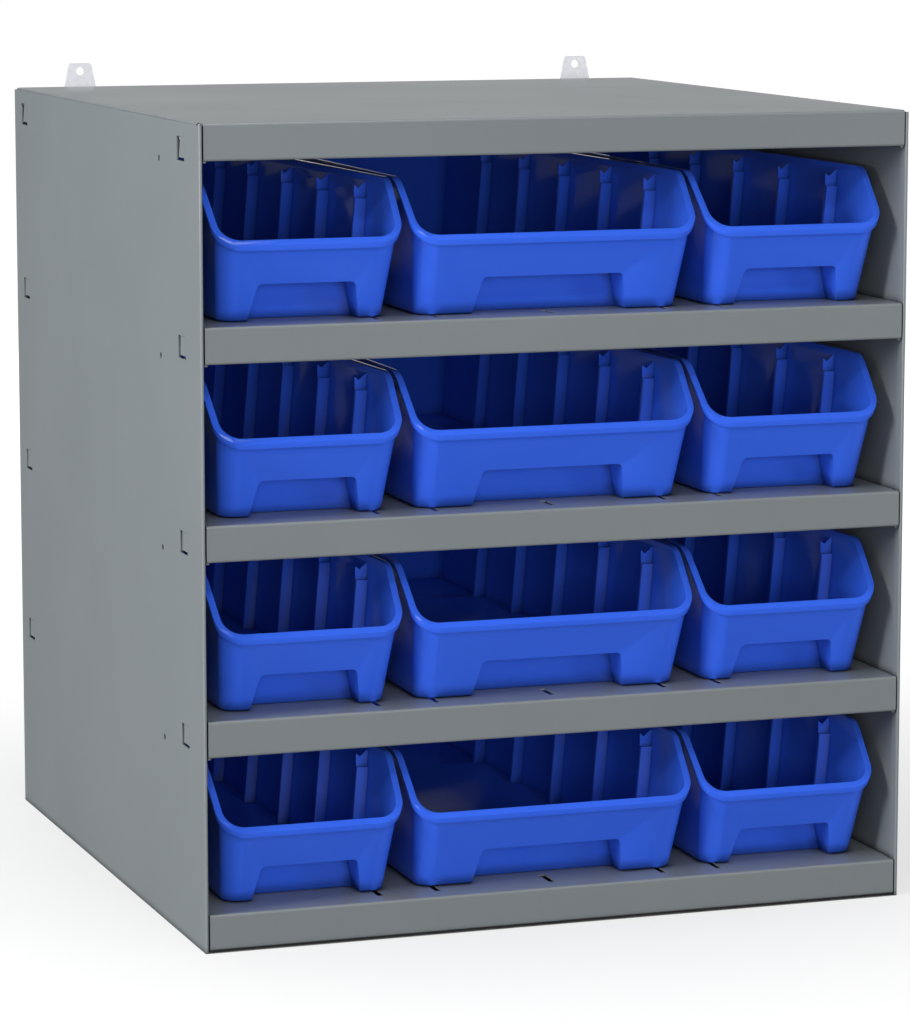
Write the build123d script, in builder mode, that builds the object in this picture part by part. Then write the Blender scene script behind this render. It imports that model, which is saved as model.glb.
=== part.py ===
from build123d import *

import os
from math import cos, radians, tan

# Open-fronted bin rack: a folded sheet-steel case with four rows of three slide-in hopper bins.
# Millimetres. X runs across the rack, Y from front to back, Z up. The origin is on the floor,
# at the middle of the rack's footprint. The bins are drawn pushed home.

# Case: overall sizes
rack_width = 586.0
rack_depth = 594.0
row_count = 4
row_pitch = 151.8
top_row_extra = 2.3
base_deck_height = 30.0
sheet = 1.2
bend_radius = 2.0

# Side panels
top_reveal = 1.6
hem_depth = 10.0
hem_gap = 0.2
hem_nose_flat = 0.05
rear_flange_width = 20.0
base_flange_width = 12.0
bend_clearance = 1.5
lock_hole_radius = 2.6
lock_hole_y = 114.0
lock_hole_drop = 32.5

# Shelf trays
tray_side_gap = 0.3
lip_height = 28.5
lip_side_gap = 1.0
lip_setback = 0.5
lip_return = 10.0
hem_clearance = 2.0
rear_stop_height = 12.0
rear_corner_relief = 20.0
end_nub_width = 2.4
end_nub_drop = 1.4
deck_slot_length = 25.5
deck_slot_width = 5.5
deck_slot_y = 20.0
deck_slot_inner_inset = 197.0
deck_slot_outer_inset = 149.0

# Hook lugs of the shelves, flush in windows of the side panels
front_window_y = 41.5
rear_window_y = 27.0
window_depth = 20.5
shelf_window_drop = 11.0
shelf_window_height = 17.5
shelf_lug_leg_gap = 5.2
shelf_lug_flare = 0.8
top_window_drop = 12.3
top_window_height = 18.5
top_lug_leg_gap = 6.0
top_lug_flare = 4.0
lug_foot_gap = 2.5
lug_fit = 0.15
lug_root = 3.0
notch_margin = 1.5

# Wall tabs and their rivets
tab_inset = 59.3
tab_base_width = 28.3
tab_top_width = 19.7
tab_rise = 20.5
tab_tail = 22.0
tab_sheet = 1.5
tab_corner = 3.0
tab_hole_radius = 3.6
tab_hole_rise = 13.4
rivet_radius = 2.0
rivet_clearance = 0.05
rivet_head_radius = 3.8
rivet_head_height = 0.9
rivet_blind_radius = 2.8
rivet_blind_length = 1.6
rivet_pitch = 13.0
rivet_drop = 12.0
wall_margin = 0.2

# Bins: sizes that both widths share
bin_height = 106.0
bin_wall = 2.4
bin_floor = 2.6
bin_seat_gap = 0.2
bin_front_inset = 36.4
bin_rear_inset = 4.0
outer_bin_inset = 91.0
bin_slack_shift = 1.3
front_lean = 20.6
side_draft = 5.4
plan_taper = 1.2
foot_corner = 13.5
foot_round = 2.0
top_corner = 20.0
rear_corner = 9.0
hopper_level = 60.2
hopper_angle = 44.0
hopper_round = 24.0
rim_overhang = 3.0
rim_band = 4.2
grip_height = 29.2
grip_depth = 22.0
grip_flare = 5.6
grip_corner = 5.0
track_count = 5
track_y = 97.3
track_pitch = 92.0
track_depth = 9.0
track_thickness = 5.0
track_height = 87.4
fork_thickness = 1.6
fork_neck = 8.4
fork_tip_low = 1.4
fork_tip_high = 10.8
fork_notch_depth = 5.6
fork_notch_rise = 8.0
fork_wall_rise = 12.9
card_ledge_reach = 13.0
card_ledge_level = 60.4
card_ledge_thickness = 1.8
card_stud_length = 10.0
card_stud_width = 2.0
card_stud_height = 0.8

# Bins: one value for each width, taken at the foot of the front wall
narrow_foot_half_width = 66.7
narrow_pad_width = 21.8
narrow_card_ledge = 60.0
narrow_stud_spacing = 28.0
bin_foot_gap = 26.1
wide_pad_width = 45.2
wide_card_ledge = 92.0
wide_stud_spacing = 31.5

# Derived places
front_y = -rack_depth / 2
rear_y = rack_depth / 2
side_x = rack_width / 2
web_x = side_x - sheet
top_deck_height = base_deck_height + row_count * row_pitch + top_row_extra
panel_height = top_deck_height - top_reveal
hem_thickness = 2 * sheet + hem_gap
tray_half_width = web_x - tray_side_gap
tray_front_y = front_y + hem_depth + hem_clearance
shelf_back_y = rear_y - sheet - bend_clearance
lip_half_width = side_x - hem_thickness - lip_side_gap
lip_y = front_y + lip_setback
deck_slot_inner_x = side_x - deck_slot_inner_inset
deck_slot_outer_x = side_x - deck_slot_outer_inset
inner_bend = bend_radius - sheet
tab_x = side_x - tab_inset
tab_back_y = rear_y - wall_margin - rivet_head_height
top_back_y = tab_back_y - tab_sheet
rivet_grip = tab_sheet + sheet
rivet_height = top_deck_height - rivet_drop
lean_run = tan(radians(front_lean))
draft_run = tan(radians(side_draft))
taper_run = tan(radians(plan_taper))
column_spacing = side_x - outer_bin_inset
wide_foot_half_width = column_spacing - narrow_foot_half_width - bin_foot_gap
narrow_grip_half_width = narrow_foot_half_width - narrow_pad_width
wide_grip_half_width = wide_foot_half_width - wide_pad_width
bin_front_y = front_y + bin_front_inset
bin_rear_y = rear_y - bin_rear_inset - rim_overhang - bin_height * draft_run


def deck_height(row):
    """Top face of the deck that carries a row; the bottom row is 0 and the top panel is row_count."""
    return top_deck_height if row == row_count else base_deck_height + row * row_pitch


def box_between(x_span, y_span, z_span, mode=Mode.ADD):
    """Box between two limits on each axis, added to or cut from the part being built."""
    center = [(low + high) / 2 for low, high in (x_span, y_span, z_span)]
    size = [high - low for low, high in (x_span, y_span, z_span)]
    with Locations(tuple(center)):
        Box(*size, mode=mode)


def write(piece, name):
    """Labels a finished piece and writes its file."""
    piece.part.label = name
    export_step(piece.part, f"parts/{name}.step")


def window_spans(row):
    """Limits of the two lug windows beside a deck, as (y span, z span)."""
    is_top = row == row_count
    top = deck_height(row) - (top_window_drop if is_top else shelf_window_drop)
    z_span = (top - (top_window_height if is_top else shelf_window_height), top)
    front = front_y + front_window_y
    rear = rear_y - rear_window_y
    return [((front, front + window_depth), z_span), ((rear - window_depth, rear), z_span)]


def side_panel():
    """Right side panel: web with hemmed front edge, rear and base flanges, windows and holes."""
    with BuildPart() as panel:
        with BuildSketch(Plane.XY):
            with Locations((side_x, 0)):
                Rectangle(sheet, rack_depth, align=(Align.MAX, Align.CENTER))
            with Locations((side_x, front_y)):
                Rectangle(hem_thickness, hem_depth, align=(Align.MAX, Align.MIN))
            with Locations((side_x, rear_y)):
                Rectangle(rear_flange_width, sheet, align=(Align.MAX, Align.MAX))
        extrude(amount=panel_height)
        nose = panel.edges().filter_by(Axis.Z).group_by(Axis.Y)[0]
        fillet(nose, radius=hem_thickness / 2 - hem_nose_flat)
        outer_rear = panel.edges().filter_by(Axis.Z).group_by(Axis.Y)[-1].sort_by(Axis.X)[-1]
        fillet(outer_rear, radius=bend_radius)
        box_between(
            (web_x - hem_gap, web_x),
            (front_y + sheet, front_y + hem_depth),
            (0, panel_height),
            mode=Mode.SUBTRACT,
        )
        box_between(
            (side_x - base_flange_width, side_x - sheet / 2), (tray_front_y, shelf_back_y), (0, sheet)
        )
        for row in range(1, row_count + 1):
            for y_span, z_span in window_spans(row):
                box_between((web_x - sheet, side_x + sheet), y_span, z_span, mode=Mode.SUBTRACT)
            hole_center = (side_x, front_y + lock_hole_y, deck_height(row) - lock_hole_drop)
            with Locations(Plane(origin=hole_center, z_dir=(1, 0, 0))):
                Hole(radius=lock_hole_radius, depth=2 * sheet)
    return panel


def front_strip(deck_top):
    """Front of a tray: deck edge, rounded nose, lip and the return along the lip's foot."""
    with BuildSketch(Plane.YZ) as profile:
        with Locations((lip_y, deck_top)):
            Rectangle(lip_return, lip_height, align=(Align.MIN, Align.MAX))
        fillet(profile.vertices().group_by(Axis.X)[0], radius=bend_radius)
        with Locations((lip_y + sheet, deck_top - sheet)):
            Rectangle(
                lip_return,
                lip_height - 2 * sheet,
                align=(Align.MIN, Align.MAX),
                mode=Mode.SUBTRACT,
            )
        fillet(profile.vertices().group_by(Axis.X)[1], radius=inner_bend)
        with Locations((lip_y + bend_radius, deck_top)):
            Rectangle(
                tray_front_y + bend_clearance - lip_y - bend_radius,
                sheet,
                align=(Align.MIN, Align.MAX),
            )
    return profile.sketch


def deck_channel(deck_top):
    """Section of a tray across the rack: deck with a flange turned down along each side."""
    with BuildSketch(Plane.XZ.offset(-tray_front_y)) as profile:
        with Locations((0, deck_top)):
            Rectangle(2 * tray_half_width, lip_height, align=(Align.CENTER, Align.MAX))
        fillet(profile.vertices().group_by(Axis.Y)[-1], radius=bend_radius)
        with Locations((0, deck_top - sheet)):
            Rectangle(
                2 * (tray_half_width - sheet),
                lip_height,
                align=(Align.CENTER, Align.MAX),
                mode=Mode.SUBTRACT,
            )
        fillet(profile.vertices().group_by(Axis.Y)[-2], radius=inner_bend)
    return profile.sketch


def hook_lug(y_span, z_span, leg_gap, flare):
    """One right-hand lug: it fills its window but for an L-shaped gap behind and below it."""
    front = y_span[0] + lug_fit
    top = z_span[1] - lug_fit
    foot = z_span[0] + lug_foot_gap
    rear = y_span[1] - leg_gap
    with BuildPart() as lug:
        with BuildSketch(Plane.YZ.offset(web_x)):
            with BuildLine():
                Polyline((front, top), (rear - flare, top), (rear, foot), (front, foot), close=True)
            make_face()
        extrude(amount=sheet)
        box_between(
            (tray_half_width - sheet, side_x - sheet / 2), (front, rear - flare), (top - lug_root, top)
        )
    return lug.part


def notch_flanges(row):
    """Cuts both side flanges away behind the lug windows, from their foot up to the lug roots."""
    for y_span, z_span in window_spans(row):
        for side in (-1, 1):
            across = (side * (tray_half_width - 2 * sheet), side * (tray_half_width + sheet))
            box_between(
                (min(across), max(across)),
                (y_span[0] - notch_margin, y_span[1] + notch_margin),
                (deck_height(row) - 2 * lip_height, z_span[1] - lug_fit - lug_root / 2),
                mode=Mode.SUBTRACT,
            )


def tray(row, back_y):
    """Folded deck of one level without its rear edge: channel, front lip, its ends and the lugs."""
    is_top = row == row_count
    leg_gap = top_lug_leg_gap if is_top else shelf_lug_leg_gap
    flare = top_lug_flare if is_top else shelf_lug_flare
    deck_top = deck_height(row)
    lip_foot = deck_top - lip_height
    lugs = [hook_lug(*spans, leg_gap, flare) for spans in window_spans(row)] if row > 0 else []
    with BuildPart() as body:
        extrude(deck_channel(deck_top), amount=tray_front_y - back_y)
        extrude(front_strip(deck_top), amount=lip_half_width, both=True)
        for side in (-1, 1):
            end_return = (side * (lip_half_width - sheet), side * lip_half_width)
            box_between(
                (min(end_return), max(end_return)),
                (lip_y + sheet / 2, lip_y + lip_return),
                (lip_foot + sheet / 2, deck_top - sheet / 2),
            )
            nub = (side * (lip_half_width - end_nub_width), side * lip_half_width)
            box_between(
                (min(nub), max(nub)),
                (lip_y + bend_radius, lip_y + bend_radius + sheet),
                (lip_foot - end_nub_drop, lip_foot + sheet / 2),
            )
        if lugs:
            notch_flanges(row)
        for lug in lugs:
            add(lug)
            mirror(lug, about=Plane.YZ)
    return body.part


def shelf(row):
    """Shelf of a row: tray with a low stop turned up at its rear edge and five short slots."""
    deck_top = deck_height(row)
    body = tray(row, shelf_back_y)
    flange_half = tray_half_width - rear_corner_relief
    slot_y = front_y + deck_slot_y
    with BuildPart() as piece:
        add(body)
        box_between(
            (-flange_half, flange_half),
            (shelf_back_y - sheet, shelf_back_y),
            (deck_top - sheet / 2, deck_top + rear_stop_height),
        )
        for x in (-deck_slot_outer_x, -deck_slot_inner_x, 0, deck_slot_inner_x, deck_slot_outer_x):
            box_between(
                (x - deck_slot_width / 2, x + deck_slot_width / 2),
                (slot_y, slot_y + deck_slot_length),
                (deck_top - 2 * sheet, deck_top + sheet),
                mode=Mode.SUBTRACT,
            )
    return piece


def rivet_places():
    """X of every rivet: a pair for each wall tab."""
    pair = (-rivet_pitch / 2, rivet_pitch / 2)
    return [side * tab_x + offset for side in (-1, 1) for offset in pair]


def rivet_planes(side):
    """Planes on the back of one wall tab, facing back, at its rivets."""
    return [
        Plane(origin=(x, tab_back_y, rivet_height), z_dir=(0, 1, 0))
        for x in rivet_places()
        if x * side > 0
    ]


def top_tray():
    """Top panel: tray with its rear flange turned down and holes for the rivets of the tabs."""
    body = tray(row_count, top_back_y)
    flange_half = tray_half_width - rear_corner_relief
    with BuildPart() as piece:
        add(body)
        box_between(
            (-flange_half, flange_half),
            (top_back_y - sheet, top_back_y),
            (top_deck_height - lip_height, top_deck_height - sheet / 2),
        )
        outer_rear = piece.edges().filter_by(Axis.X).group_by(Axis.Y)[-1].sort_by(Axis.Z)[-1]
        fillet(outer_rear, radius=inner_bend)
        with Locations(*rivet_planes(-1), *rivet_planes(1)):
            Hole(radius=rivet_radius + rivet_clearance, depth=rivet_grip + sheet)
    return piece


def wall_tab(side):
    """Flat plated tab behind the top panel's rear flange, with a screw hole above the deck."""
    center_x = side * tab_x
    corners = (
        (-tab_base_width / 2, -tab_tail),
        (tab_base_width / 2, -tab_tail),
        (tab_base_width / 2, 0),
        (tab_top_width / 2, tab_rise),
        (-tab_top_width / 2, tab_rise),
        (-tab_base_width / 2, 0),
    )
    hole_plane = Plane(origin=(center_x, tab_back_y, top_deck_height + tab_hole_rise), z_dir=(0, 1, 0))
    with BuildPart() as tab:
        with BuildSketch(Plane.XZ.offset(-tab_back_y)) as outline:
            with BuildLine():
                Polyline(*[(center_x + x, top_deck_height + z) for x, z in corners], close=True)
            make_face()
            fillet(outline.vertices().group_by(Axis.Y)[-1], radius=tab_corner)
            fillet(outline.vertices().group_by(Axis.Y)[0], radius=tab_corner)
        extrude(amount=tab_sheet)
        with Locations(hole_plane):
            Hole(radius=tab_hole_radius, depth=2 * tab_sheet)
        with Locations(*rivet_planes(side)):
            Hole(radius=rivet_radius + rivet_clearance, depth=2 * tab_sheet)
    return tab


def add_rivet(x):
    """Adds one blind rivet: low domed head behind the tab, shank, upset head in the flange."""
    plane = Plane(origin=(x, tab_back_y, rivet_height))
    with BuildSketch(plane) as half:
        with BuildLine():
            TangentArc((0, rivet_head_height), (rivet_head_radius, 0), tangent=(1, 0))
            Polyline(
                (rivet_head_radius, 0),
                (rivet_radius, 0),
                (rivet_radius, -rivet_grip),
                (rivet_blind_radius, -rivet_grip),
                (rivet_radius, -rivet_grip - rivet_blind_length),
                (0, -rivet_grip - rivet_blind_length),
                (0, rivet_head_height),
            )
        make_face()
    revolve(half.sketch, axis=Axis((x, 0, rivet_height), (0, 1, 0)))


def bin_outline(foot_half_width, grow, height):
    """Plan outline of a bin at one height, drawn outward by grow."""
    front = bin_front_y - height * lean_run - grow
    rear = bin_rear_y + height * draft_run + grow
    front_half = foot_half_width + height * draft_run + grow
    rear_half = front_half - (rear - front) * taper_run
    corner = foot_corner + (top_corner - foot_corner) * height / bin_height
    with BuildSketch(Plane.XY.offset(height)) as outline:
        with BuildLine():
            Polyline(
                (-front_half, front),
                (front_half, front),
                (rear_half, rear),
                (-rear_half, rear),
                close=True,
            )
        make_face()
        fillet(outline.vertices().group_by(Axis.Y)[0], radius=corner + grow)
        fillet(outline.vertices().group_by(Axis.Y)[-1], radius=rear_corner + grow)
    return outline.sketch


def hopper_side(depth):
    """Side view of the space under a bin's rim, lowered by a depth square to the rim."""
    rise = tan(radians(hopper_angle))
    lip_front = bin_front_y - hopper_level * lean_run - rim_overhang
    level = hopper_level - depth / cos(radians(hopper_angle))
    top = bin_height - depth
    with BuildSketch(Plane.YZ) as side:
        with BuildLine():
            Polyline(
                (lip_front - level / rise, 0),
                (lip_front + (top - level) / rise, top),
                (rear_y, top),
                (rear_y, 0),
                close=True,
            )
        make_face()
        knee = side.vertices().group_by(Axis.Y)[-1].sort_by(Axis.X)[0]
        fillet(knee, radius=hopper_round - depth)
    return side.sketch


def grip_recess(half_width, grow):
    """Block of the finger recess at the foot of the front wall, drawn outward by grow."""
    back_y = bin_front_y + grip_depth + grow
    with BuildPart() as block:
        with BuildSketch(Plane.XZ.offset(-back_y)) as arch:
            with BuildLine():
                Polyline(
                    (-half_width - grow, 0),
                    (half_width + grow, 0),
                    (half_width - grip_flare + grow, grip_height + grow),
                    (grip_flare - half_width - grow, grip_height + grow),
                    close=True,
                )
            make_face()
            fillet(arch.vertices().group_by(Axis.Y)[-1], radius=grip_corner + grow)
        extrude(amount=back_y - front_y)
    return block.part


def inner_half_width(foot_half_width, y, height):
    """Distance from a bin's middle to the inner face of its side wall."""
    front = bin_front_y - height * lean_run
    return foot_half_width + height * draft_run - (y - front) * taper_run - bin_wall


def divider_track(foot_half_width, y):
    """One right-hand track for a divider: a fin on the side wall with a notched fork on top."""
    low_x = inner_half_width(foot_half_width, y, 0)
    high_x = inner_half_width(foot_half_width, y, track_height)
    top = track_height
    with BuildPart() as track:
        with BuildSketch(Plane.XZ.offset(-y)):
            with BuildLine():
                Polyline(
                    (low_x - track_depth, 0),
                    (low_x + bin_wall, 0),
                    (high_x + bin_wall, top),
                    (high_x - track_depth, top),
                    close=True,
                )
            make_face()
        extrude(amount=track_thickness / 2, both=True)
        with BuildSketch(Plane.XZ.offset(-y - track_thickness / 2)):
            with BuildLine():
                Polyline(
                    (high_x - fork_neck, top),
                    (high_x - track_depth, top + fork_tip_low),
                    (high_x - track_depth, top + fork_tip_high),
                    (high_x - fork_notch_depth, top + fork_notch_rise),
                    (high_x, top + fork_wall_rise),
                    (high_x + bin_wall, top + fork_wall_rise),
                    (high_x + bin_wall, top),
                    close=True,
                )
            make_face()
        extrude(amount=fork_thickness)
    return track.part


def card_ledge(length, stud_spacing):
    """Ledge for a label card along the inside of the front rim, with two small studs."""
    wall_y = bin_front_y - card_ledge_level * lean_run
    edge_y = wall_y + card_ledge_reach
    with BuildPart() as ledge:
        box_between(
            (-length / 2, length / 2),
            (wall_y, edge_y),
            (card_ledge_level - card_ledge_thickness, card_ledge_level),
        )
        for side in (-1, 1):
            center_x = side * stud_spacing / 2
            box_between(
                (center_x - card_stud_length / 2, center_x + card_stud_length / 2),
                (edge_y - card_stud_width, edge_y),
                (card_ledge_level, card_ledge_level + card_stud_height),
            )
    return ledge.part


def hopper_bin(foot_half_width, grip_half_width, ledge_length, stud_spacing):
    """One bin at the middle of the rack with its foot at height zero."""
    tracks = [
        divider_track(foot_half_width, front_y + track_y + number * track_pitch)
        for number in range(track_count)
    ]
    ledge = card_ledge(ledge_length, stud_spacing)
    recess_inside = grip_recess(grip_half_width, bin_wall)
    recess = grip_recess(grip_half_width, 0)

    with BuildPart() as cavity:
        lower = bin_outline(foot_half_width, -bin_wall, bin_floor)
        upper = bin_outline(foot_half_width, -bin_wall, bin_height + bin_wall)
        loft([lower, upper], ruled=True)
        add(recess_inside, mode=Mode.SUBTRACT)
        add(ledge, mode=Mode.SUBTRACT)
        for track in tracks:
            add(track, mode=Mode.SUBTRACT)
            mirror(track, about=Plane.YZ, mode=Mode.SUBTRACT)

    with BuildPart() as rim:
        lower = bin_outline(foot_half_width, rim_overhang, 0)
        upper = bin_outline(foot_half_width, rim_overhang, bin_height)
        loft([lower, upper], ruled=True)
        extrude(hopper_side(0), amount=side_x, both=True, mode=Mode.INTERSECT)
        extrude(hopper_side(rim_band), amount=side_x, both=True, mode=Mode.SUBTRACT)

    with BuildPart() as body:
        lower = bin_outline(foot_half_width, 0, 0)
        upper = bin_outline(foot_half_width, 0, bin_height)
        loft([lower, upper], ruled=True)
        fillet(body.faces().sort_by(Axis.Z)[0].edges(), radius=foot_round)
        extrude(hopper_side(0), amount=side_x, both=True, mode=Mode.INTERSECT)
        add(rim.part)
        add(cavity.part, mode=Mode.SUBTRACT)
        add(recess, mode=Mode.SUBTRACT)
    return body.part


os.makedirs("parts", exist_ok=True)

right_side_panel = side_panel()
write(right_side_panel, "right_side_panel")

with BuildPart() as left_side_panel:
    mirror(right_side_panel.part, about=Plane.YZ)
write(left_side_panel, "left_side_panel")

write(top_tray(), "top_panel")
for level, shelf_name in enumerate(("bottom_shelf", "lower_shelf", "middle_shelf", "upper_shelf")):
    write(shelf(level), shelf_name)

write(wall_tab(-1), "left_wall_tab")
write(wall_tab(1), "right_wall_tab")

with BuildPart() as tab_rivets:
    for rivet_x in rivet_places():
        add_rivet(rivet_x)
write(tab_rivets, "tab_rivets")

narrow_bin = hopper_bin(
    narrow_foot_half_width, narrow_grip_half_width, narrow_card_ledge, narrow_stud_spacing
)
wide_bin = hopper_bin(wide_foot_half_width, wide_grip_half_width, wide_card_ledge, wide_stud_spacing)
columns = (
    ("left", bin_slack_shift - column_spacing, narrow_bin),
    ("middle", bin_slack_shift, wide_bin),
    ("right", bin_slack_shift + column_spacing, narrow_bin),
)
for row in range(row_count):
    for column_name, column_x, bin_shape in columns:
        with BuildPart() as row_bin:
            with Locations((column_x, 0, deck_height(row) + bin_seat_gap)):
                add(bin_shape)
        write(row_bin, f"row_{row + 1}_{column_name}_bin")
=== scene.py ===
from collections import namedtuple
from math import radians

import bmesh
import bpy
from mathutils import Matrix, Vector


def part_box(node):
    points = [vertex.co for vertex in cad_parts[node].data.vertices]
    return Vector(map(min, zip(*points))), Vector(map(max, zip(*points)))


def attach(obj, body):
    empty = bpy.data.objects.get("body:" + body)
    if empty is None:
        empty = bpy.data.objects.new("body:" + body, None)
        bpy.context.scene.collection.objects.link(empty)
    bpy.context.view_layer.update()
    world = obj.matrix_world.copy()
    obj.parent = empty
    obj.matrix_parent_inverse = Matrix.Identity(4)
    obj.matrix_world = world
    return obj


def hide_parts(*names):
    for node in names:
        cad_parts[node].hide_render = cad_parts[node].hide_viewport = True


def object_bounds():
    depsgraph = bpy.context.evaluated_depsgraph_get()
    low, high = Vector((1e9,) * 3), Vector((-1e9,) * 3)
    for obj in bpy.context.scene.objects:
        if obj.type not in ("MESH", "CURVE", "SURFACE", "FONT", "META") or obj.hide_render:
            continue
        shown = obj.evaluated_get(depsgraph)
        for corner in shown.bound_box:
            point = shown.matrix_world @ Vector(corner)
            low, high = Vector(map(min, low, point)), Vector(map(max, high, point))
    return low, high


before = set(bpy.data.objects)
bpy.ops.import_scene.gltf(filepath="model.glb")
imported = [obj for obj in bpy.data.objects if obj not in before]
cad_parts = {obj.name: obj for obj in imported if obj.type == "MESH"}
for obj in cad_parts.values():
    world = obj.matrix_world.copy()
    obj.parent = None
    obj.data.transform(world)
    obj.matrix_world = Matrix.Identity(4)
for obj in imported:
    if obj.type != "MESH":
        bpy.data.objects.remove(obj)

bl_info = {
    "name": "Bin rack",
    "version": (1, 0, 0),
    "blender": (4, 5, 0),
    "location": "3D View > Sidebar > Bin rack",
    "description": "Dresses a steel rack of twelve moulded bins and lights it in a plain studio",
    "category": "Object",
}

CAD_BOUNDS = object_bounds()
ROWS = ("row_1", "row_2", "row_3", "row_4")
SHEET_PANELS = (
    "left_side_panel",
    "right_side_panel",
    "top_panel",
    "bottom_shelf",
    "lower_shelf",
    "middle_shelf",
    "upper_shelf",
)
ZINC_PLATED = ("left_wall_tab", "right_wall_tab", "tab_rivets")

# Mesh of a bin: points closer than this are one, and facets flatter than this are one face
WELD_DISTANCE = 0.000002
FLAT_ANGLE = radians(0.6)
ROUNDING_STEPS = 2
SMOOTH_ANGLE = radians(32)

# The floor's lift grows between these two distances from the rack's middle
NEAR_FLOOR = 0.31
FAR_FLOOR = 1.5
# What gloss shows of the floor: a share of its tone, and a glow of its own
FLOOR_TONE_IN_GLOSS = 0.2
FLOOR_GLOW_IN_GLOSS = 0.03

# Camera: width of its sensor in millimetres, and how many metres it sees
SENSOR_WIDTH = 36
SIGHT_RANGE = 200

# Area lamps: where they hang, the point they face, width and height in metres, watts,
# and whether the camera and gloss show them
Softbox = namedtuple("Softbox", "name place faces size power in_view in_gloss")
RACK_MIDDLE = (0, 0, 0.33)
RACK_TOP = (0, 0, 0.64)
SOFTBOXES = (
    Softbox("back_card", (1.3, 3.5, 1.0), RACK_TOP, (2.8, 0.9), 5, False, True),
    Softbox("back_softbox", (1.4, 3.6, 0.7), RACK_MIDDLE, (2.0, 0.9), 38, False, False),
    Softbox("key_softbox", (-3.4, -0.65, 1.3), RACK_MIDDLE, (1.4, 1.4), 144, True, True),
    Softbox("low_front_softbox", (-0.6, -3.7, 0.72), RACK_MIDDLE, (2.4, 0.9), 46, True, False),
    Softbox("high_front_softbox", (-0.5, -2.8, 2.1), RACK_MIDDLE, (1.8, 0.16), 20, True, True),
    Softbox("right_softbox", (2.9, -2.9, 0.8), RACK_MIDDLE, (0.9, 1.4), 24, True, True),
    Softbox("top_softbox", (-0.2, -0.3, 2.8), RACK_MIDDLE, (1.6, 1.6), 31, True, True),
)


class CaseSettings(bpy.types.PropertyGroup):
    """Finish of the folded steel case."""

    paint_color: bpy.props.FloatVectorProperty(
        name="Paint", description="Colour of the grey powder coat",
        default=(0.203, 0.225, 0.235), size=3, min=0, max=1, subtype="COLOR",
    )
    paint_shade: bpy.props.FloatVectorProperty(
        name="Paint shade", description="Darker tone that drifts through the powder coat",
        default=(0.184, 0.205, 0.215), size=3, min=0, max=1, subtype="COLOR",
    )
    paint_roughness: bpy.props.FloatProperty(
        name="Paint roughness", description="Middle roughness of the powder coat",
        default=0.30, min=0, max=1, subtype="FACTOR",
    )
    peel_size: bpy.props.FloatProperty(
        name="Orange peel", description="Width of one ripple of the powder coat",
        default=0.0016, min=0.0002, unit="LENGTH",
    )
    zinc_light: bpy.props.FloatVectorProperty(
        name="Zinc, light", description="Light grains of the zinc plating",
        default=(0.94, 0.94, 0.97), size=3, min=0, max=1, subtype="COLOR",
    )
    zinc_dark: bpy.props.FloatVectorProperty(
        name="Zinc, dark", description="Dark grains of the zinc plating",
        default=(0.82, 0.83, 0.88), size=3, min=0, max=1, subtype="COLOR",
    )
    spangle_size: bpy.props.FloatProperty(
        name="Spangle", description="Width of one grain of the zinc plating",
        default=0.004, min=0.0005, unit="LENGTH",
    )


class BinSettings(bpy.types.PropertyGroup):
    """Finish and edges of the moulded bins."""

    plastic_color: bpy.props.FloatVectorProperty(
        name="Plastic", description="Colour of the moulded bins",
        default=(0.042, 0.144, 0.85), size=3, min=0, max=1, subtype="COLOR",
    )
    plastic_shade: bpy.props.FloatVectorProperty(
        name="Plastic shade", description="Deeper tone that drifts through the moulded bins",
        default=(0.034, 0.126, 0.82), size=3, min=0, max=1, subtype="COLOR",
    )
    plastic_roughness: bpy.props.FloatProperty(
        name="Plastic roughness", description="Middle roughness of the moulded bins",
        default=0.085, min=0, max=1, subtype="FACTOR",
    )
    edge_radius: bpy.props.FloatProperty(
        name="Edge rounding", description="Rounding along every moulded edge",
        default=0.0008, min=0.0001, unit="LENGTH",
    )
    edge_angle: bpy.props.FloatProperty(
        name="Edge angle", description="Edges that fold more than this are rounded",
        default=radians(24), subtype="ANGLE",
    )


class StageSettings(bpy.types.PropertyGroup):
    """Camera, floor and studio light."""

    camera_place: bpy.props.FloatVectorProperty(
        name="Camera place", description="Where the camera stands",
        default=(-1.1674, -3.3860, 0.8220), size=3, subtype="TRANSLATION", unit="LENGTH",
    )
    camera_turn: bpy.props.FloatProperty(
        name="Camera turn", description="Turn of the camera to the right, from straight on",
        default=radians(19.238), subtype="ANGLE",
    )
    camera_pitch: bpy.props.FloatProperty(
        name="Camera pitch", description="How far the camera looks down",
        default=radians(8.463), subtype="ANGLE",
    )
    camera_lens: bpy.props.FloatProperty(
        name="Lens", description="Focal length in millimetres on a sensor of 36 mm",
        default=149.87, min=1,
    )
    floor_size: bpy.props.FloatProperty(
        name="Floor size", description="Length of the floor's side",
        default=120.0, unit="LENGTH",
    )
    floor_tone: bpy.props.FloatProperty(
        name="Floor tone", description="Grey value of the floor",
        default=0.27, min=0, max=1, subtype="FACTOR",
    )
    floor_lift: bpy.props.FloatProperty(
        name="Floor lift", description="Light that the camera sees added to the near floor",
        default=0.60, min=0, max=1, subtype="FACTOR",
    )
    far_floor_lift: bpy.props.FloatProperty(
        name="Far floor lift", description="Light that the camera sees added to the far floor",
        default=0.97, min=0, max=1, subtype="FACTOR",
    )
    backdrop_in_gloss: bpy.props.FloatProperty(
        name="Backdrop in gloss", description="Brightness of the backdrop as gloss shows it",
        default=0.08, min=0, max=1, subtype="FACTOR",
    )
    world_strength: bpy.props.FloatProperty(
        name="Room light", description="Strength of the light from all round",
        default=0.20, min=0,
    )


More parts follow.
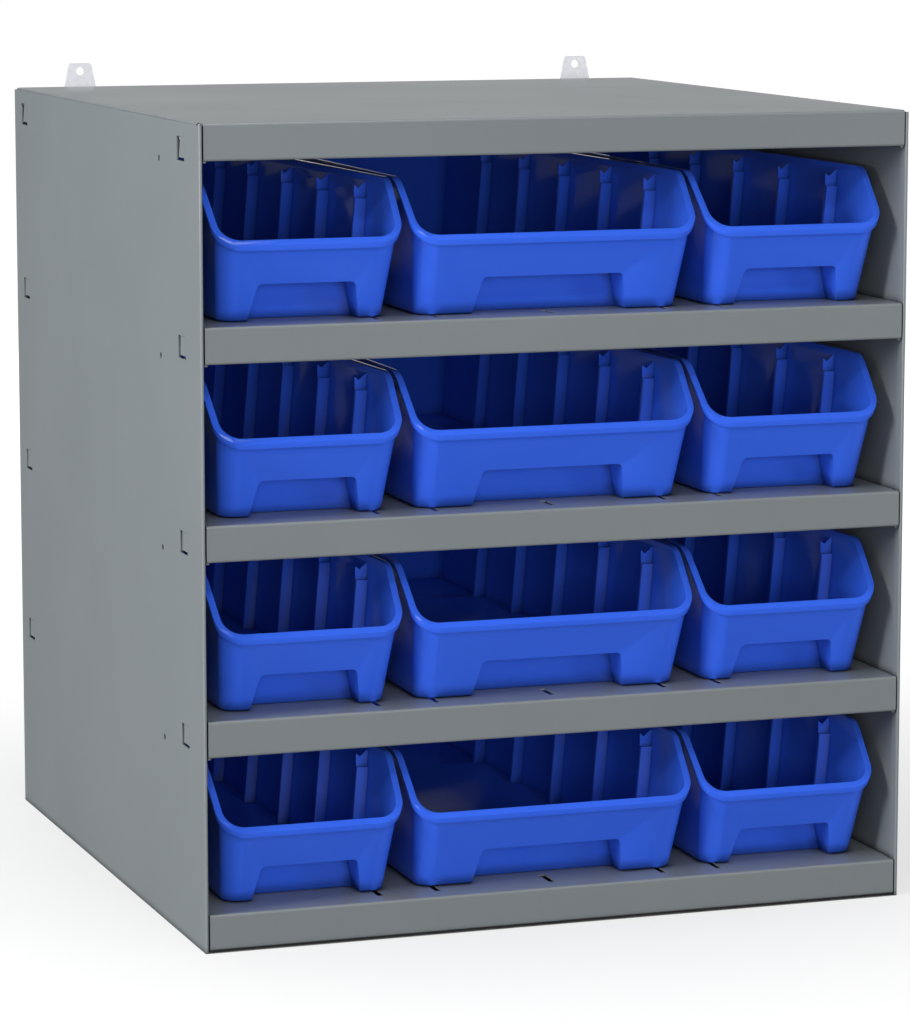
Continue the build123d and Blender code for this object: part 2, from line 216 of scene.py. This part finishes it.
def plain_tree(name, inputs, outputs):
    """Starts a shader node group and returns its tree, its input node and its output node."""
    tree = bpy.data.node_groups.new(name, "ShaderNodeTree")
    for socket_name, socket_type, value in inputs:
        socket = tree.interface.new_socket(socket_name, in_out="INPUT", socket_type=socket_type)
        socket.default_value = value
    for socket_name, socket_type in outputs:
        tree.interface.new_socket(socket_name, in_out="OUTPUT", socket_type=socket_type)
    return tree, tree.nodes.new("NodeGroupInput"), tree.nodes.new("NodeGroupOutput")


def set_inputs(node, values):
    """Sets a node's inputs by name, where an underscore stands for a space."""
    for key, value in values.items():
        node.inputs[key.replace("_", " ")].default_value = value
    return node


def place_node(tree, kind, **values):
    """Adds a node and sets its inputs by name."""
    return set_inputs(tree.nodes.new(kind), values)


def math_node(tree, operation, *values):
    """Adds a maths node on sockets or numbers and returns its result."""
    node = tree.nodes.new("ShaderNodeMath")
    node.operation = operation
    for socket, value in zip(node.inputs, values):
        if isinstance(value, (int, float)):
            socket.default_value = value
        else:
            tree.links.new(value, socket)
    return node.outputs[0]


def drift_group():
    """Slow drift between two tones with a little roughness drift beside it."""
    tree, given, result = plain_tree(
        "tone_drift",
        (
            ("Tone", "NodeSocketColor", (0.5, 0.5, 0.5, 1)),
            ("Shade", "NodeSocketColor", (0.4, 0.4, 0.4, 1)),
            ("Patch size", "NodeSocketFloat", 0.1),
            ("Roughness", "NodeSocketFloat", 0.4),
            ("Roughness drift", "NodeSocketFloat", 0.05),
        ),
        (("Color", "NodeSocketColor"), ("Roughness", "NodeSocketFloat")),
    )
    place = tree.nodes.new("ShaderNodeTexCoord")
    scale = math_node(tree, "DIVIDE", 1.0, given.outputs["Patch size"])
    noise = place_node(tree, "ShaderNodeTexNoise", Detail=4.0, Roughness=0.55)
    tree.links.new(place.outputs["Object"], noise.inputs["Vector"])
    tree.links.new(scale, noise.inputs["Scale"])
    mix = tree.nodes.new("ShaderNodeMix")
    mix.data_type = "RGBA"
    tree.links.new(noise.outputs["Fac"], mix.inputs["Factor"])
    tree.links.new(given.outputs["Shade"], mix.inputs["A"])
    tree.links.new(given.outputs["Tone"], mix.inputs["B"])
    tree.links.new(mix.outputs["Result"], result.inputs["Color"])
    offset = math_node(tree, "SUBTRACT", noise.outputs["Fac"], 0.5)
    drift = math_node(tree, "MULTIPLY", offset, given.outputs["Roughness drift"])
    total = math_node(tree, "ADD", given.outputs["Roughness"], drift)
    tree.links.new(total, result.inputs["Roughness"])
    return tree


def grain_group():
    """Fine grain as a height: ripples of one size with a finer grain on them."""
    tree, given, result = plain_tree(
        "fine_grain",
        (("Ripple size", "NodeSocketFloat", 0.002), ("Fine share", "NodeSocketFloat", 0.3)),
        (("Height", "NodeSocketFloat"),),
    )
    place = tree.nodes.new("ShaderNodeTexCoord")
    scale = math_node(tree, "DIVIDE", 1.0, given.outputs["Ripple size"])
    fine_scale = math_node(tree, "MULTIPLY", scale, 4.0)
    ripple = place_node(tree, "ShaderNodeTexNoise", Detail=1.0, Roughness=0.4)
    fine = place_node(tree, "ShaderNodeTexNoise", Detail=1.0, Roughness=0.5)
    for noise, noise_scale in ((ripple, scale), (fine, fine_scale)):
        tree.links.new(place.outputs["Object"], noise.inputs["Vector"])
        tree.links.new(noise_scale, noise.inputs["Scale"])
    fine_part = math_node(tree, "MULTIPLY", fine.outputs["Fac"], given.outputs["Fine share"])
    total = math_node(tree, "ADD", ripple.outputs["Fac"], fine_part)
    tree.links.new(total, result.inputs["Height"])
    return tree


def rub_group():
    """Mask of faint rub marks: long thin streaks along one axis, broken up by patches."""
    tree, given, result = plain_tree(
        "rub_marks",
        (
            ("Streak size", "NodeSocketFloat", 0.004),
            ("Stretch", "NodeSocketVector", (1.0, 0.06, 1.0)),
            ("Amount", "NodeSocketFloat", 0.3),
        ),
        (("Mask", "NodeSocketFloat"),),
    )
    place = tree.nodes.new("ShaderNodeTexCoord")
    stretch = tree.nodes.new("ShaderNodeVectorMath")
    stretch.operation = "MULTIPLY"
    tree.links.new(place.outputs["Object"], stretch.inputs[0])
    tree.links.new(given.outputs["Stretch"], stretch.inputs[1])
    scale = math_node(tree, "DIVIDE", 1.0, given.outputs["Streak size"])
    streak = place_node(tree, "ShaderNodeTexNoise", Detail=2.0, Roughness=0.6)
    tree.links.new(stretch.outputs["Vector"], streak.inputs["Vector"])
    tree.links.new(scale, streak.inputs["Scale"])
    patch = place_node(tree, "ShaderNodeTexNoise", Scale=9.0, Detail=2.0)
    tree.links.new(place.outputs["Object"], patch.inputs["Vector"])
    sharp = place_node(tree, "ShaderNodeMapRange", From_Min=0.6, From_Max=0.72)
    tree.links.new(streak.outputs["Fac"], sharp.inputs["Value"])
    broken = math_node(tree, "MULTIPLY", sharp.outputs["Result"], patch.outputs["Fac"])
    mask = math_node(tree, "MULTIPLY", broken, given.outputs["Amount"])
    tree.links.new(mask, result.inputs["Mask"])
    return tree


def painted_seam_shade_group():
    """Paints shade into a colour: darker in seams and corners that little light reaches."""
    tree, given, result = plain_tree(
        "painted_crevice_shade",
        (
            ("Color", "NodeSocketColor", (0.5, 0.5, 0.5, 1)),
            ("Reach", "NodeSocketFloat", 0.006),
            ("Darkest", "NodeSocketFloat", 0.2),
        ),
        (("Color", "NodeSocketColor"),),
    )
    shade = tree.nodes.new("ShaderNodeAmbientOcclusion")
    shade.samples = 6
    tree.links.new(given.outputs["Reach"], shade.inputs["Distance"])
    level = place_node(tree, "ShaderNodeMapRange", From_Min=0.35, From_Max=0.85, To_Max=1.0)
    tree.links.new(shade.outputs["AO"], level.inputs["Value"])
    tree.links.new(given.outputs["Darkest"], level.inputs["To Min"])
    scaled = tree.nodes.new("ShaderNodeVectorMath")
    scaled.operation = "SCALE"
    tree.links.new(given.outputs["Color"], scaled.inputs["Vector"])
    tree.links.new(level.outputs["Result"], scaled.inputs["Scale"])
    tree.links.new(scaled.outputs["Vector"], result.inputs["Color"])
    return tree


def shared_group(name):
    """Returns a shader node group by name, built the first time it is asked for."""
    makers = {
        "tone_drift": drift_group,
        "fine_grain": grain_group,
        "rub_marks": rub_group,
        "painted_crevice_shade": painted_seam_shade_group,
    }
    return bpy.data.node_groups.get(name) or makers[name]()


def use_group(tree, name, **values):
    """Places a shared group in a material and sets its inputs by name."""
    node = tree.nodes.new("ShaderNodeGroup")
    node.node_tree = shared_group(name)
    return set_inputs(node, values)


def opaque(color):
    """A colour of three values with full alpha."""
    return (*color, 1.0)


def new_material(name):
    """Makes a plain node material and returns it with its tree and its main shader."""
    material = bpy.data.materials.new(name)
    material.use_nodes = True
    return material, material.node_tree, material.node_tree.nodes["Principled BSDF"]


def paint_seam_shade(tree, shader, color, reach, darkest):
    """Feeds a colour into the shader with painted shade in its seams and corners."""
    seam = use_group(tree, "painted_crevice_shade", Reach=reach, Darkest=darkest)
    tree.links.new(color, seam.inputs["Color"])
    tree.links.new(seam.outputs["Color"], shader.inputs["Base Color"])


def grain_bump(tree, shader, ripple_size, fine_share, depth):
    """Feeds a fine grain into the shader's normal."""
    grain = use_group(tree, "fine_grain", Ripple_size=ripple_size, Fine_share=fine_share)
    bump = place_node(tree, "ShaderNodeBump", Strength=1.0, Distance=depth)
    tree.links.new(grain.outputs["Height"], bump.inputs["Height"])
    tree.links.new(bump.outputs["Normal"], shader.inputs["Normal"])


def powder_coat(settings):
    """Satin grey powder coat on folded sheet steel."""
    material, tree, shader = new_material("grey_powder_coat")
    drift = use_group(
        tree,
        "tone_drift",
        Tone=opaque(settings.paint_color),
        Shade=opaque(settings.paint_shade),
        Patch_size=0.12,
        Roughness=settings.paint_roughness,
        Roughness_drift=0.10,
    )
    rub = use_group(tree, "rub_marks", Streak_size=0.006, Stretch=(1.0, 0.05, 1.0), Amount=0.03)
    # painted shade: the coat's colour is darkened in seams, gaps and folds
    paint_seam_shade(tree, shader, drift.outputs["Color"], reach=0.008, darkest=0.12)
    rougher = math_node(tree, "ADD", drift.outputs["Roughness"], rub.outputs["Mask"])
    tree.links.new(rougher, shader.inputs["Roughness"])
    shader.inputs["IOR"].default_value = 1.5
    grain_bump(tree, shader, settings.peel_size, fine_share=0.25, depth=0.00004)
    return material


def zinc_plating(settings):
    """Mottled bright zinc plating."""
    material, tree, shader = new_material("zinc_plating")
    place = tree.nodes.new("ShaderNodeTexCoord")
    cells = place_node(tree, "ShaderNodeTexVoronoi", Scale=1 / settings.spangle_size)
    noise = place_node(tree, "ShaderNodeTexNoise", Scale=2.5 / settings.spangle_size, Detail=3.0)
    for texture in (cells, noise):
        tree.links.new(place.outputs["Object"], texture.inputs["Vector"])
    grey = tree.nodes.new("ShaderNodeRGBToBW")
    tree.links.new(cells.outputs["Color"], grey.inputs["Color"])
    blend = math_node(tree, "MULTIPLY", grey.outputs["Val"], noise.outputs["Fac"])
    contrast, roughness_spread, smoothest = 2.4, 0.2, 0.32
    spread = math_node(tree, "MULTIPLY", blend, contrast)
    mix = tree.nodes.new("ShaderNodeMix")
    mix.data_type = "RGBA"
    mix.inputs["A"].default_value = opaque(settings.zinc_light)
    mix.inputs["B"].default_value = opaque(settings.zinc_dark)
    tree.links.new(spread, mix.inputs["Factor"])
    tree.links.new(mix.outputs["Result"], shader.inputs["Base Color"])
    rough = math_node(tree, "MULTIPLY_ADD", grey.outputs["Val"], roughness_spread, smoothest)
    tree.links.new(rough, shader.inputs["Roughness"])
    shader.inputs["Metallic"].default_value = 0.4
    grain_bump(tree, shader, settings.spangle_size / 4, fine_share=0.4, depth=0.00005)
    return material


def moulded_plastic(settings):
    """Glossy moulded plastic with a faint flow in its tone and light rub marks."""
    material, tree, shader = new_material("blue_moulded_plastic")
    drift = use_group(
        tree,
        "tone_drift",
        Tone=opaque(settings.plastic_color),
        Shade=opaque(settings.plastic_shade),
        Patch_size=0.06,
        Roughness=settings.plastic_roughness,
        Roughness_drift=0.04,
    )
    rub = use_group(tree, "rub_marks", Streak_size=0.003, Stretch=(1.0, 0.08, 1.0), Amount=0.02)
    # painted shade: the plastic's colour is darkened in its corners, recesses and under its rim
    paint_seam_shade(tree, shader, drift.outputs["Color"], reach=0.012, darkest=0.30)
    rougher = math_node(tree, "ADD", drift.outputs["Roughness"], rub.outputs["Mask"])
    tree.links.new(rougher, shader.inputs["Roughness"])
    shader.inputs["IOR"].default_value = 1.45
    grain_bump(tree, shader, ripple_size=0.0011, fine_share=0.3, depth=0.000003)
    return material


def finish_nodes(names, material):
    """Gives pieces of the frame their finish."""
    for name in names:
        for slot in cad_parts[name].material_slots:
            slot.material = material


class RACK_OT_finish_case(bpy.types.Operator):
    """Coat the side panels, shelves and top panel in grey powder"""

    bl_idname = "rack.finish_case"
    bl_label = "Powder coat the case"

    def execute(self, context):
        finish_nodes(SHEET_PANELS, powder_coat(context.scene.rack_case))
        return {"FINISHED"}


class RACK_OT_finish_wall_tabs(bpy.types.Operator):
    """Plate the wall tabs and their rivets in mottled zinc"""

    bl_idname = "rack.finish_wall_tabs"
    bl_label = "Plate the wall tabs"

    def execute(self, context):
        finish_nodes(ZINC_PLATED, zinc_plating(context.scene.rack_case))
        return {"FINISHED"}


def rounded_bin(node, settings):
    """Mesh of one bin with its facets merged and its edges rounded."""
    shape = bmesh.new()
    shape.from_mesh(node.data)
    bmesh.ops.remove_doubles(shape, verts=shape.verts, dist=WELD_DISTANCE)
    bmesh.ops.dissolve_limit(
        shape,
        angle_limit=FLAT_ANGLE,
        verts=shape.verts,
        edges=shape.edges,
        use_dissolve_boundaries=False,
    )
    sharp = [
        edge
        for edge in shape.edges
        if len(edge.link_faces) == 2 and edge.calc_face_angle() > settings.edge_angle
    ]
    bmesh.ops.bevel(
        shape,
        geom=sharp,
        offset=settings.edge_radius,
        offset_type="OFFSET",
        affect="EDGES",
        segments=ROUNDING_STEPS,
        profile=0.5,
        material=-1,
        clamp_overlap=True,
    )
    for face in shape.faces:
        face.smooth = True
    mesh = bpy.data.meshes.new(f"{node.name}_rounded")
    shape.to_mesh(mesh)
    shape.free()
    mesh.set_sharp_from_angle(angle=SMOOTH_ANGLE)
    return mesh


class RACK_OT_mould_bins(bpy.types.Operator):
    """Mould the twelve bins with rounded edges and place them on their shelves"""

    bl_idname = "rack.mould_bins"
    bl_label = "Mould the bins"

    def execute(self, context):
        settings = context.scene.rack_bins
        material = moulded_plastic(settings)
        for column in ("left", "middle", "right"):
            first = f"{ROWS[0]}_{column}_bin"
            pattern = rounded_bin(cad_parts[first], settings)
            pattern.materials.append(material)
            for row in ROWS:
                name = f"{row}_{column}_bin"
                mesh = pattern.copy()
                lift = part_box(name)[0].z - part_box(first)[0].z
                for vertex in mesh.vertices:
                    vertex.co.z += lift
                piece = bpy.data.objects.new(f"{name}_moulded", mesh)
                context.scene.collection.objects.link(piece)
                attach(piece, name)
                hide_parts(name)
            bpy.data.meshes.remove(pattern)
        return {"FINISHED"}


def backdrop_level(tree, straight, in_gloss):
    """Brightness added for what the camera sees straight, and for what gloss and glass show."""
    rays = tree.nodes.new("ShaderNodeLightPath").outputs
    shown = math_node(tree, "MAXIMUM", rays["Is Glossy Ray"], rays["Is Transmission Ray"])
    shown = math_node(tree, "MULTIPLY", shown, in_gloss)
    direct = math_node(tree, "MULTIPLY", rays["Is Camera Ray"], straight)
    return math_node(tree, "ADD", direct, shown)


def floor_material(settings):
    """Pale floor that the camera sees as white outside the shadow."""
    material, tree, shader = new_material("pale_floor")
    rays = tree.nodes.new("ShaderNodeLightPath").outputs
    tone = settings.floor_tone
    darker = (FLOOR_TONE_IN_GLOSS - 1) * tone
    seen_tone = math_node(tree, "MULTIPLY_ADD", rays["Is Glossy Ray"], darker, tone)
    tree.links.new(seen_tone, shader.inputs["Base Color"])
    shader.inputs["Roughness"].default_value = 0.9
    shader.inputs["Specular IOR Level"].default_value = 0.0
    shader.inputs["Emission Color"].default_value = (1, 1, 1, 1)
    place = tree.nodes.new("ShaderNodeTexCoord")
    away = tree.nodes.new("ShaderNodeVectorMath")
    away.operation = "LENGTH"
    tree.links.new(place.outputs["Object"], away.inputs[0])
    lift = place_node(
        tree,
        "ShaderNodeMapRange",
        From_Min=NEAR_FLOOR,
        From_Max=FAR_FLOOR,
        To_Min=settings.floor_lift,
        To_Max=settings.far_floor_lift,
    )
    tree.links.new(away.outputs["Value"], lift.inputs["Value"])
    parts = tree.nodes.new("ShaderNodeSeparateXYZ")
    tree.links.new(place.outputs["Object"], parts.inputs["Vector"])
    low, high = CAD_BOUNDS
    clear = []
    for axis, half_size in (("X", (high.x - low.x) / 2), ("Y", (high.y - low.y) / 2)):
        distance = math_node(tree, "ABSOLUTE", parts.outputs[axis])
        clear.append(math_node(tree, "GREATER_THAN", distance, half_size))
    outside = math_node(tree, "MAXIMUM", *clear)
    shown = math_node(tree, "MULTIPLY", lift.outputs["Result"], outside)
    level = backdrop_level(tree, shown, FLOOR_GLOW_IN_GLOSS)
    tree.links.new(level, shader.inputs["Emission Strength"])
    return material


def lay_floor(scene, settings):
    """Lays a square floor under the rack."""
    shape = bmesh.new()
    bmesh.ops.create_grid(shape, x_segments=1, y_segments=1, size=settings.floor_size / 2)
    bmesh.ops.translate(shape, verts=shape.verts, vec=(0, 0, CAD_BOUNDS[0].z))
    mesh = bpy.data.meshes.new("floor")
    shape.to_mesh(mesh)
    shape.free()
    mesh.materials.append(floor_material(settings))
    floor = bpy.data.objects.new("floor", mesh)
    scene.collection.objects.link(floor)


def hang_softbox(scene, softbox):
    """Adds a rectangular area lamp that faces a point."""
    lamp = bpy.data.lights.new(softbox.name, "AREA")
    lamp.shape = "RECTANGLE"
    lamp.size, lamp.size_y = softbox.size
    lamp.energy = softbox.power
    holder = bpy.data.objects.new(softbox.name, lamp)
    holder.location = softbox.place
    aim = Vector(softbox.faces) - Vector(softbox.place)
    holder.rotation_euler = aim.to_track_quat("-Z", "Y").to_euler()
    holder.visible_camera = softbox.in_view
    holder.visible_glossy = softbox.in_gloss
    scene.collection.objects.link(holder)


def light_room(scene, settings):
    """Gives the room its even light and the camera its white backdrop."""
    world = bpy.data.worlds.new("studio")
    world.use_nodes = True
    scene.world = world
    tree = world.node_tree
    background = tree.nodes["Background"]
    background.inputs["Color"].default_value = (1, 1, 1, 1)
    room = settings.world_strength
    extra = backdrop_level(tree, 1 - room, settings.backdrop_in_gloss - room)
    strength = math_node(tree, "ADD", extra, room)
    tree.links.new(strength, background.inputs["Strength"])


def place_camera(scene, settings):
    """Puts the camera at the photograph's viewing angle."""
    lens = bpy.data.cameras.new("photo_camera")
    lens.lens = settings.camera_lens
    lens.sensor_width = SENSOR_WIDTH
    lens.clip_end = SIGHT_RANGE
    camera = bpy.data.objects.new("photo_camera", lens)
    camera.location = settings.camera_place
    camera.rotation_euler = (radians(90) - settings.camera_pitch, 0, -settings.camera_turn)
    scene.collection.objects.link(camera)
    scene.camera = camera
    scene.view_settings.view_transform = "Standard"


class RACK_OT_set_stage(bpy.types.Operator):
    """Lay the pale floor, light the studio and place the camera"""

    bl_idname = "rack.set_stage"
    bl_label = "Set the stage"

    def execute(self, context):
        scene = context.scene
        settings = scene.rack_stage
        lay_floor(scene, settings)
        for softbox in SOFTBOXES:
            hang_softbox(scene, softbox)
        light_room(scene, settings)
        place_camera(scene, settings)
        return {"FINISHED"}


class RACK_PT_panel(bpy.types.Panel):
    """Settings of the rack and buttons for each group of pieces"""

    bl_idname = "RACK_PT_panel"
    bl_label = "Bin rack"
    bl_space_type = "VIEW_3D"
    bl_region_type = "UI"
    bl_category = "Bin rack"

    def draw(self, context):
        for name, group in SETTINGS:
            settings = getattr(context.scene, name)
            for prop in group.bl_rna.properties:
                if prop.identifier not in {"rna_type", "name"}:
                    self.layout.prop(settings, prop.identifier)
        for operator in OPERATORS:
            self.layout.operator(operator.bl_idname)


OPERATORS = (
    RACK_OT_finish_case,
    RACK_OT_finish_wall_tabs,
    RACK_OT_mould_bins,
    RACK_OT_set_stage,
)
SETTINGS = (
    ("rack_case", CaseSettings),
    ("rack_bins", BinSettings),
    ("rack_stage", StageSettings),
)


def register():
    """Registers the settings, the operators and the panel."""
    for name, group in SETTINGS:
        bpy.utils.register_class(group)
        setattr(bpy.types.Scene, name, bpy.props.PointerProperty(type=group))
    for cls in (*OPERATORS, RACK_PT_panel):
        bpy.utils.register_class(cls)


def unregister():
    """Takes away all that register added."""
    for cls in (RACK_PT_panel, *reversed(OPERATORS)):
        bpy.utils.unregister_class(cls)
    for name, group in reversed(SETTINGS):
        delattr(bpy.types.Scene, name)
        bpy.utils.unregister_class(group)


def main():
    """Builds the dressed rack and its stage."""
    register()
    bpy.ops.rack.finish_case()
    bpy.ops.rack.finish_wall_tabs()
    bpy.ops.rack.mould_bins()
    bpy.ops.rack.set_stage()


if __name__ == "__main__":
    main()
